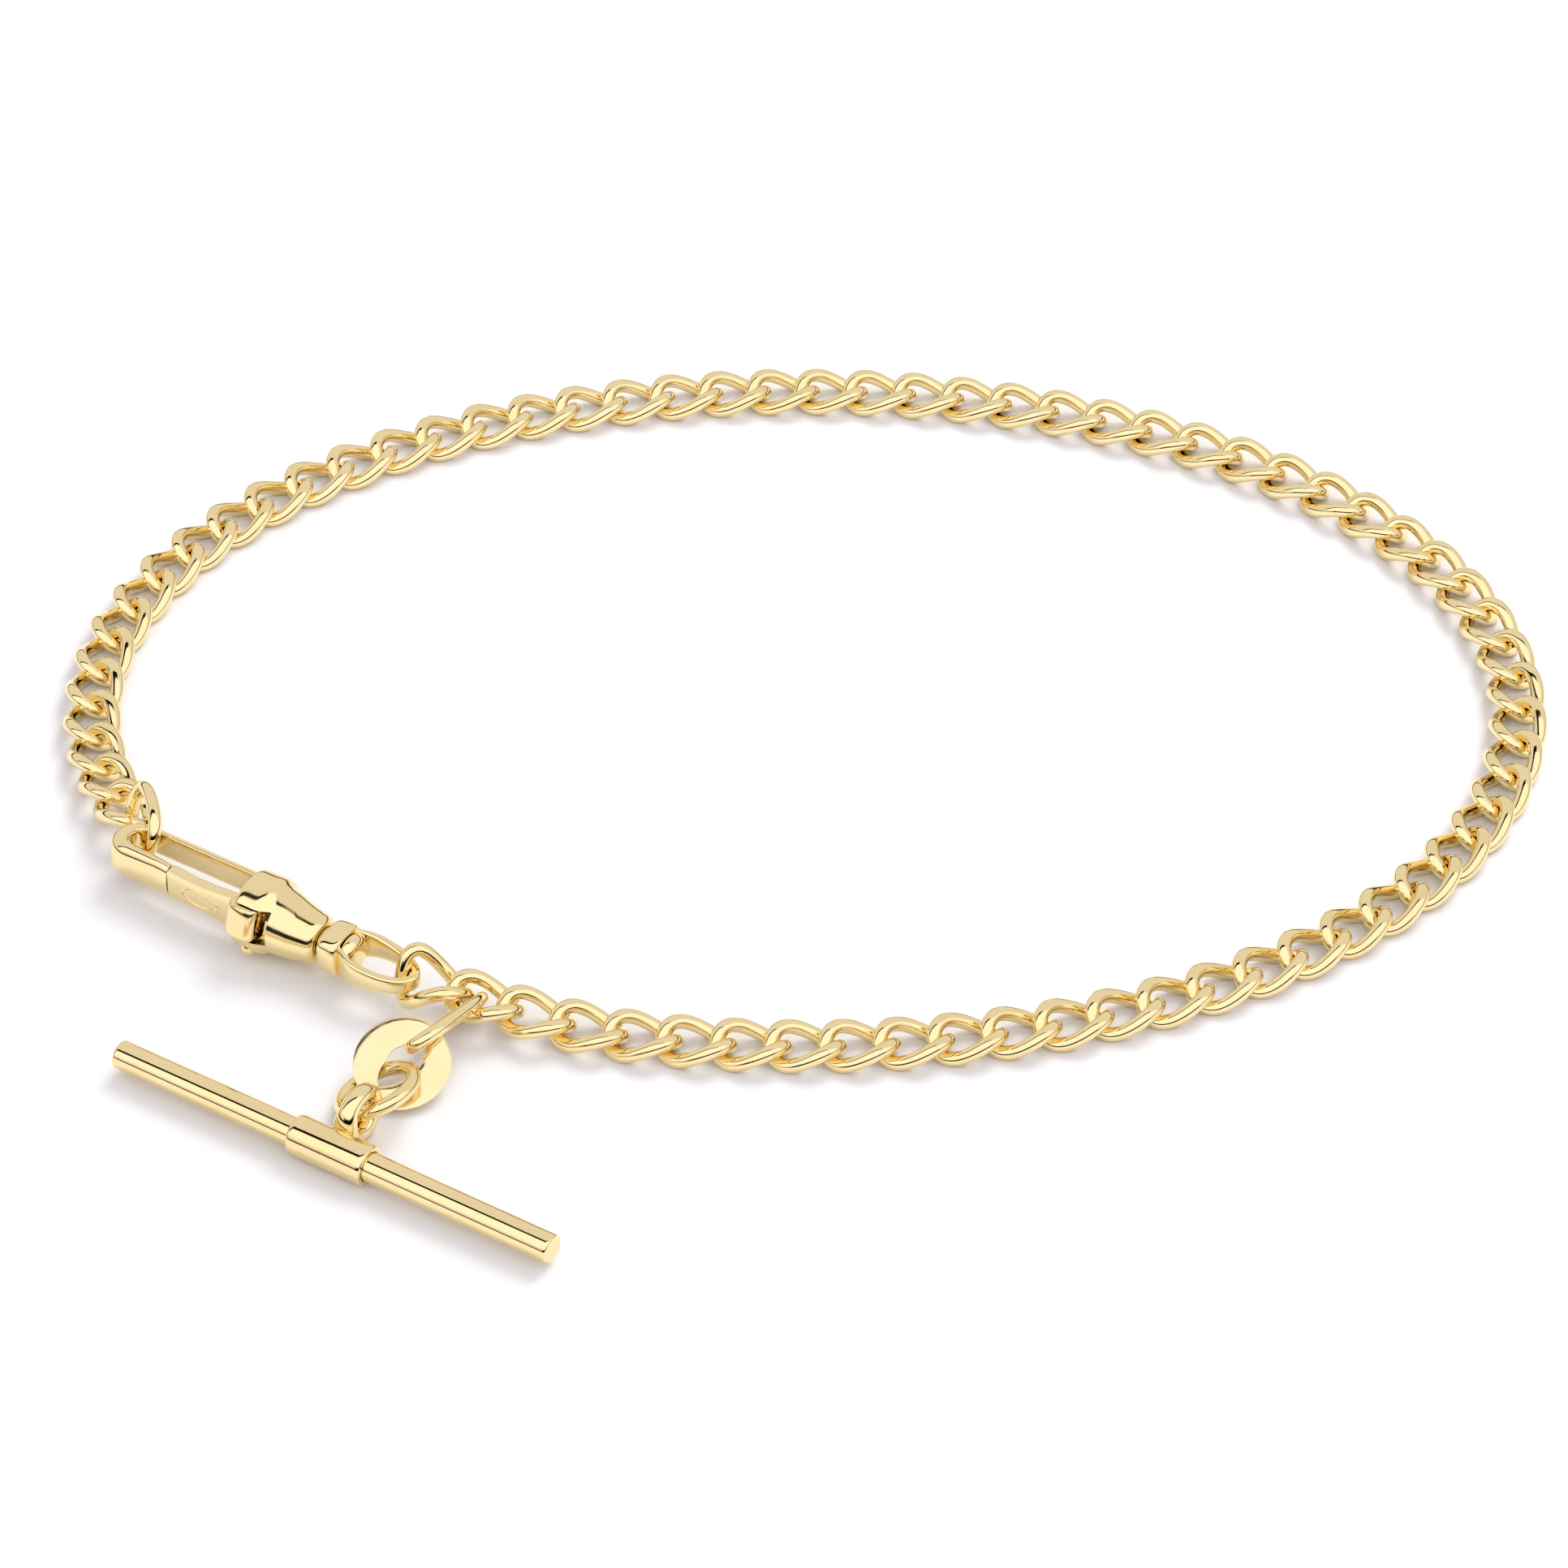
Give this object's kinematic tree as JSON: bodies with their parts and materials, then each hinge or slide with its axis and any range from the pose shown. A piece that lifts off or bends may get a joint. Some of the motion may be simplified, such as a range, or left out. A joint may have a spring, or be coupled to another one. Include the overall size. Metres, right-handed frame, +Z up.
{
  "type": "pocket watch chain",
  "caption": "Curb-link watch chain closed into a loop by a swivel clip and end ring, with a T-bar hung on a ring, an oval tag and a second ring.",
  "frame": {"origin": "middle of the base of the whole chain as it lies fastened on a flat surface", "axes": "+X along the loop's longer way, +Y across it away from the T-bar, +Z up from the surface"},
  "size_m": [0.092, 0.0826, 0.0051],
  "materials": {
    "gold_polished": "high polish, pale yellow gold",
    "gold_matt": "unpolished gold, as turned",
    "spring_steel": "bright spring temper"
  },
  "bodies": {
    "eye": {"swivel_eye": "gold_polished", "end_ring": "gold_polished"},
    "clip": {"clip_barrel": "gold_polished", "clip_hook": "gold_polished", "gate_pin": "gold_polished", "gate_spring": "spring_steel", "swivel_pin": "gold_polished", "swivel_washer": "gold_matt"},
    "gate": {"clip_gate": "gold_polished"},
    "chain_01": {"curb_link_01": "gold_polished"},
    "chain_02": {"curb_pair_02": "gold_polished"},
    "chain_03": {"curb_link_03": "gold_polished"},
    "chain_04": {"curb_pair_04": "gold_polished"},
    "chain_05": {"curb_link_05": "gold_polished"},
    "chain_06": {"curb_pair_06": "gold_polished"},
    "chain_07": {"curb_link_07": "gold_polished"},
    "chain_08": {"curb_pair_08": "gold_polished"},
    "chain_09": {"curb_link_09": "gold_polished"},
    "chain_10": {"curb_pair_10": "gold_polished"},
    "chain_11": {"curb_link_11": "gold_polished"},
    "chain_12": {"curb_pair_12": "gold_polished"},
    "chain_13": {"curb_link_13": "gold_polished"},
    "chain_14": {"curb_pair_14": "gold_polished"},
    "chain_15": {"curb_link_15": "gold_polished"},
    "chain_16": {"curb_pair_16": "gold_polished"},
    "chain_17": {"curb_link_17": "gold_polished"},
    "chain_18": {"curb_pair_18": "gold_polished"},
    "chain_19": {"curb_link_19": "gold_polished"},
    "chain_20": {"curb_pair_20": "gold_polished"},
    "chain_21": {"curb_link_21": "gold_polished"},
    "chain_22": {"curb_pair_22": "gold_polished"},
    "chain_23": {"curb_link_23": "gold_polished"},
    "chain_24": {"curb_pair_24": "gold_polished"},
    "chain_25": {"curb_link_25": "gold_polished"},
    "chain_26": {"curb_pair_26": "gold_polished"},
    "chain_27": {"curb_link_27": "gold_polished"},
    "chain_28": {"curb_pair_28": "gold_polished"},
    "chain_29": {"curb_link_29": "gold_polished"},
    "chain_30": {"curb_pair_30": "gold_polished"},
    "chain_31": {"curb_link_31": "gold_polished"},
    "chain_32": {"curb_pair_32": "gold_polished"},
    "chain_33": {"curb_link_33": "gold_polished"},
    "chain_34": {"curb_pair_34": "gold_polished"},
    "chain_35": {"curb_link_35": "gold_polished"},
    "chain_36": {"curb_pair_36": "gold_polished"},
    "chain_37": {"curb_link_37": "gold_polished"},
    "chain_38": {"curb_pair_38": "gold_polished"},
    "chain_39": {"curb_link_39": "gold_polished"},
    "chain_40": {"curb_pair_40": "gold_polished"},
    "chain_41": {"curb_link_41": "gold_polished"},
    "chain_42": {"curb_pair_42": "gold_polished"},
    "chain_43": {"curb_link_43": "gold_polished"},
    "chain_44": {"curb_pair_44": "gold_polished"},
    "chain_45": {"curb_pair_45": "gold_polished"},
    "drop_ring": {"drop_ring": "gold_polished"},
    "tag": {"oval_tag": "gold_polished"},
    "bar_ring": {"bar_ring": "gold_polished"},
    "t_bar": {"t_bar_rod": "gold_polished", "t_bar_sleeve": "gold_polished", "t_bar_bail": "gold_polished"}
  },
  "joints": [
    {"name": "swivel", "type": "hinge", "parent": "eye", "child": "clip", "pos_m": [-0.02842, -0.01592, 0.00222], "axis": [0.8434, -0.5373, 0], "range_deg": [-8, 8]},
    {"name": "gate_pivot", "type": "hinge", "parent": "clip", "child": "gate", "pos_m": [-0.0329, -0.01466, 0.00222], "axis": [0, 0, -1], "range_deg": [0, 15], "stiffness_Nm_per_rad": 0.0003, "springref_deg": -20.05},
    {"name": "bend_01", "type": "hinge", "parent": "eye", "child": "chain_01", "pos_m": [-0.0229, -0.01894, 0.0009], "axis": [0, 0, 1], "range_deg": [-1.49, 1.49]},
    {"name": "bend_02", "type": "hinge", "parent": "chain_01", "child": "chain_02", "pos_m": [-0.02043, -0.01989, 0.0009], "axis": [0, 0, 1], "range_deg": [-2.3, 2.3]},
    {"name": "bend_03", "type": "hinge", "parent": "chain_02", "child": "chain_03", "pos_m": [-0.01432, -0.02174, 0.0009], "axis": [0, 0, 1], "range_deg": [-3.31, 3.31]},
    {"name": "bend_04", "type": "hinge", "parent": "chain_03", "child": "chain_04", "pos_m": [-0.0112, -0.02241, 0.0009], "axis": [0, 0, 1], "range_deg": [-3.7, 3.7]},
    {"name": "bend_05", "type": "hinge", "parent": "chain_04", "child": "chain_05", "pos_m": [-0.00487, -0.02324, 0.0009], "axis": [0, 0, 1], "range_deg": [-4.25, 4.25]},
    {"name": "bend_06", "type": "hinge", "parent": "chain_05", "child": "chain_06", "pos_m": [-0.00168, -0.02341, 0.0009], "axis": [0, 0, 1], "range_deg": [-4.39, 4.39]},
    {"name": "bend_07", "type": "hinge", "parent": "chain_06", "child": "chain_07", "pos_m": [0.0047, -0.02325, 0.0009], "axis": [0, 0, 1], "range_deg": [-4.42, 4.42]},
    {"name": "chain_bend", "type": "hinge", "parent": "chain_07", "child": "chain_08", "pos_m": [0.00788, -0.02292, 0.0009], "axis": [0, 0, 1], "range_deg": [-3.8, 3.8]},
    {"name": "bend_09", "type": "hinge", "parent": "chain_08", "child": "chain_09", "pos_m": [0.01416, -0.02177, 0.0009], "axis": [0, 0, 1], "range_deg": [-3.77, 3.77]},
    {"name": "bend_10", "type": "hinge", "parent": "chain_09", "child": "chain_10", "pos_m": [0.01724, -0.02093, 0.0009], "axis": [0, 0, 1], "range_deg": [-3.36, 3.36]},
    {"name": "bend_11", "type": "hinge", "parent": "chain_10", "child": "chain_11", "pos_m": [0.02323, -0.01873, 0.0009], "axis": [0, 0, 1], "range_deg": [-2.26, 2.26]},
    {"name": "bend_12", "type": "hinge", "parent": "chain_11", "child": "chain_12", "pos_m": [0.02611, -0.01735, 0.0009], "axis": [0, 0, 1], "range_deg": [-1.59, 1.59]},
    {"name": "bend_13", "type": "hinge", "parent": "chain_12", "child": "chain_13", "pos_m": [0.03153, -0.01401, 0.0009], "axis": [0, 0, 1], "range_deg": [-0.98, 0.98]},
    {"name": "bend_14", "type": "hinge", "parent": "chain_13", "child": "chain_14", "pos_m": [0.03404, -0.01203, 0.0009], "axis": [0, 0, 1], "range_deg": [-1.82, 1.82]},
    {"name": "bend_15", "type": "hinge", "parent": "chain_14", "child": "chain_15", "pos_m": [0.03847, -0.00746, 0.0009], "axis": [0, 0, 1], "range_deg": [-3.5, 3.5]},
    {"name": "bend_16", "type": "hinge", "parent": "chain_15", "child": "chain_16", "pos_m": [0.04032, -0.00487, 0.0009], "axis": [0, 0, 1], "range_deg": [-4.26, 4.26]},
    {"name": "bend_17", "type": "hinge", "parent": "chain_16", "child": "chain_17", "pos_m": [0.04306, 0.00088, 0.0009], "axis": [0, 0, 1], "range_deg": [-5.36, 5.36]},
    {"name": "bend_18", "type": "hinge", "parent": "chain_17", "child": "chain_18", "pos_m": [0.04385, 0.00396, 0.0009], "axis": [0, 0, 1], "range_deg": [-5.62, 5.62]},
    {"name": "bend_19", "type": "hinge", "parent": "chain_18", "child": "chain_19", "pos_m": [0.04411, 0.01031, 0.0009], "axis": [0, 0, 1], "range_deg": [-5.46, 5.46]},
    {"name": "bend_20", "type": "hinge", "parent": "chain_19", "child": "chain_20", "pos_m": [0.04358, 0.01344, 0.0009], "axis": [0, 0, 1], "range_deg": [-5.05, 5.05]},
    {"name": "bend_21", "type": "hinge", "parent": "chain_20", "child": "chain_21", "pos_m": [0.04128, 0.01937, 0.0009], "axis": [0, 0, 1], "range_deg": [-3.78, 3.78]},
    {"name": "bend_22", "type": "hinge", "parent": "chain_21", "child": "chain_22", "pos_m": [0.03961, 0.02208, 0.0009], "axis": [0, 0, 1], "range_deg": [-3.01, 3.01]},
    {"name": "end_ring_turn", "type": "hinge", "parent": "eye", "child": "chain_45", "pos_m": [-0.04089, -0.00388, 0.0009], "axis": [0, 0, 1], "range_deg": [-2.66, 2.66]},
    {"name": "bend_45", "type": "hinge", "parent": "chain_45", "child": "chain_44", "pos_m": [-0.04329, 0.00136, 0.0009], "axis": [0, 0, 1], "range_deg": [-7.7, 7.7]},
    {"name": "bend_44", "type": "hinge", "parent": "chain_44", "child": "chain_43", "pos_m": [-0.0443, 0.00763, 0.0009], "axis": [0, 0, 1], "range_deg": [-6.25, 6.25]},
    {"name": "bend_43", "type": "hinge", "parent": "chain_43", "child": "chain_42", "pos_m": [-0.04414, 0.0108, 0.0009], "axis": [0, 0, 1], "range_deg": [-6.08, 6.08]},
    {"name": "bend_42", "type": "hinge", "parent": "chain_42", "child": "chain_41", "pos_m": [-0.04251, 0.01695, 0.0009], "axis": [0, 0, 1], "range_deg": [-5.11, 5.11]},
    {"name": "bend_41", "type": "hinge", "parent": "chain_41", "child": "chain_40", "pos_m": [-0.04111, 0.01981, 0.0009], "axis": [0, 0, 1], "range_deg": [-4.39, 4.39]},
    {"name": "bend_40", "type": "hinge", "parent": "chain_40", "child": "chain_39", "pos_m": [-0.03739, 0.02498, 0.0009], "axis": [0, 0, 1], "range_deg": [-2.72, 2.72]},
    {"name": "bend_39", "type": "hinge", "parent": "chain_39", "child": "chain_38", "pos_m": [-0.03516, 0.02725, 0.0009], "axis": [0, 0, 1], "range_deg": [-1.87, 1.87]},
    {"name": "bend_38", "type": "hinge", "parent": "chain_38", "child": "chain_37", "pos_m": [-0.03013, 0.03117, 0.0009], "axis": [0, 0, 1], "range_deg": [-0.73, 0.73]},
    {"name": "bend_37", "type": "hinge", "parent": "chain_37", "child": "chain_36", "pos_m": [-0.02741, 0.03283, 0.0009], "axis": [0, 0, 1], "range_deg": [-1.43, 1.43]},
    {"name": "bend_36", "type": "hinge", "parent": "chain_36", "child": "chain_35", "pos_m": [-0.02164, 0.03557, 0.0009], "axis": [0, 0, 1], "range_deg": [-2.59, 2.59]},
    {"name": "bend_35", "type": "hinge", "parent": "chain_35", "child": "chain_34", "pos_m": [-0.01863, 0.03666, 0.0009], "axis": [0, 0, 1], "range_deg": [-3.04, 3.04]},
    {"name": "bend_34", "type": "hinge", "parent": "chain_34", "child": "chain_33", "pos_m": [-0.01247, 0.0383, 0.0009], "axis": [0, 0, 1], "range_deg": [-3.7, 3.7]},
    {"name": "bend_33", "type": "hinge", "parent": "chain_33", "child": "chain_32", "pos_m": [-0.00933, 0.03887, 0.0009], "axis": [0, 0, 1], "range_deg": [-3.91, 3.91]},
    {"name": "bend_32", "type": "hinge", "parent": "chain_32", "child": "chain_31", "pos_m": [-0.00298, 0.0395, 0.0009], "axis": [0, 0, 1], "range_deg": [-4.13, 4.13]},
    {"name": "bend_31", "type": "hinge", "parent": "chain_31", "child": "chain_30", "pos_m": [0.00021, 0.03957, 0.0009], "axis": [0, 0, 1], "range_deg": [-4.15, 4.15]},
    {"name": "bend_30", "type": "hinge", "parent": "chain_30", "child": "chain_29", "pos_m": [0.00659, 0.03922, 0.0009], "axis": [0, 0, 1], "range_deg": [-4.01, 4.01]},
    {"name": "bend_29", "type": "hinge", "parent": "chain_29", "child": "chain_28", "pos_m": [0.00975, 0.03879, 0.0009], "axis": [0, 0, 1], "range_deg": [-3.85, 3.85]},
    {"name": "bend_28", "type": "hinge", "parent": "chain_28", "child": "chain_27", "pos_m": [0.01598, 0.03744, 0.0009], "axis": [0, 0, 1], "range_deg": [-3.35, 3.35]},
    {"name": "bend_27", "type": "hinge", "parent": "chain_27", "child": "chain_26", "pos_m": [0.01904, 0.0365, 0.0009], "axis": [0, 0, 1], "range_deg": [-3.01, 3.01]},
    {"name": "bend_26", "type": "hinge", "parent": "chain_26", "child": "chain_25", "pos_m": [0.02494, 0.03408, 0.0009], "axis": [0, 0, 1], "range_deg": [-2.13, 2.13]},
    {"name": "bend_25", "type": "hinge", "parent": "chain_25", "child": "chain_24", "pos_m": [0.02776, 0.03259, 0.0009], "axis": [0, 0, 1], "range_deg": [-1.59, 1.59]},
    {"name": "bend_24", "type": "hinge", "parent": "chain_24", "child": "chain_23", "pos_m": [0.03304, 0.029, 0.0009], "axis": [0, 0, 1], "range_deg": [-0.71, 0.71]},
    {"name": "drop_ring_swing", "type": "hinge", "parent": "chain_02", "child": "drop_ring", "pos_m": [-0.01936, -0.01985, 0.00118], "axis": [0, 0, 1], "range_deg": [-8, 8]},
    {"name": "tag_swing", "type": "hinge", "parent": "drop_ring", "child": "tag", "pos_m": [-0.02279, -0.02541, 0.0026], "axis": [0, 0, 1], "range_deg": [-8, 8]},
    {"name": "bar_ring_swing", "type": "hinge", "parent": "tag", "child": "bar_ring", "pos_m": [-0.02424, -0.02653, 0.0016], "axis": [0, 0, 1], "range_deg": [-8, 8]},
    {"name": "t_bar_swing", "type": "hinge", "parent": "bar_ring", "child": "t_bar", "pos_m": [-0.0258, -0.03013, 0.0017], "axis": [0, 0, 1], "range_deg": [-15, 25]}
  ],
  "couplings": [
    {"joint": "bend_01", "follows": "chain_bend", "ratio": 0.26183},
    {"joint": "bend_02", "follows": "chain_bend", "ratio": 0.47254},
    {"joint": "bend_03", "follows": "chain_bend", "ratio": 0.73983},
    {"joint": "bend_04", "follows": "chain_bend", "ratio": 0.84328},
    {"joint": "bend_05", "follows": "chain_bend", "ratio": 0.98639},
    {"joint": "bend_06", "follows": "chain_bend", "ratio": 1.0248},
    {"joint": "bend_07", "follows": "chain_bend", "ratio": 1.0323},
    {"joint": "bend_09", "follows": "chain_bend", "ratio": 0.86068},
    {"joint": "bend_10", "follows": "chain_bend", "ratio": 0.75314},
    {"joint": "bend_11", "follows": "chain_bend", "ratio": 0.46437},
    {"joint": "bend_12", "follows": "chain_bend", "ratio": 0.28566},
    {"joint": "bend_13", "follows": "chain_bend", "ratio": -0.12544},
    {"joint": "bend_14", "follows": "chain_bend", "ratio": -0.34842},
    {"joint": "bend_15", "follows": "chain_bend", "ratio": -0.79016},
    {"joint": "bend_16", "follows": "chain_bend", "ratio": -0.98826},
    {"joint": "bend_17", "follows": "chain_bend", "ratio": -1.2789},
    {"joint": "bend_18", "follows": "chain_bend", "ratio": -1.3482},
    {"joint": "bend_19", "follows": "chain_bend", "ratio": -1.3053},
    {"joint": "bend_20", "follows": "chain_bend", "ratio": -1.1981},
    {"joint": "bend_21", "follows": "chain_bend", "ratio": -0.86253},
    {"joint": "bend_22", "follows": "chain_bend", "ratio": -0.66117},
    {"joint": "end_ring_turn", "follows": "chain_bend", "ratio": 0.5673},
    {"joint": "bend_45", "follows": "chain_bend", "ratio": 1.8935},
    {"joint": "bend_44", "follows": "chain_bend", "ratio": 1.5121},
    {"joint": "bend_43", "follows": "chain_bend", "ratio": 1.4676},
    {"joint": "bend_42", "follows": "chain_bend", "ratio": 1.2126},
    {"joint": "bend_41", "follows": "chain_bend", "ratio": 1.0231},
    {"joint": "bend_40", "follows": "chain_bend", "ratio": 0.58502},
    {"joint": "bend_39", "follows": "chain_bend", "ratio": 0.35967},
    {"joint": "bend_38", "follows": "chain_bend", "ratio": -0.06025},
    {"joint": "bend_37", "follows": "chain_bend", "ratio": -0.24464},
    {"joint": "bend_36", "follows": "chain_bend", "ratio": -0.54917},
    {"joint": "bend_35", "follows": "chain_bend", "ratio": -0.66808},
    {"joint": "bend_34", "follows": "chain_bend", "ratio": -0.8411},
    {"joint": "bend_33", "follows": "chain_bend", "ratio": -0.89743},
    {"joint": "bend_32", "follows": "chain_bend", "ratio": -0.95603},
    {"joint": "bend_31", "follows": "chain_bend", "ratio": -0.96034},
    {"joint": "bend_30", "follows": "chain_bend", "ratio": -0.92244},
    {"joint": "bend_29", "follows": "chain_bend", "ratio": -0.88077},
    {"joint": "bend_28", "follows": "chain_bend", "ratio": -0.75087},
    {"joint": "bend_27", "follows": "chain_bend", "ratio": -0.66122},
    {"joint": "bend_26", "follows": "chain_bend", "ratio": -0.42927},
    {"joint": "bend_25", "follows": "chain_bend", "ratio": -0.28575},
    {"joint": "bend_24", "follows": "chain_bend", "ratio": 0.05547}
  ]
}
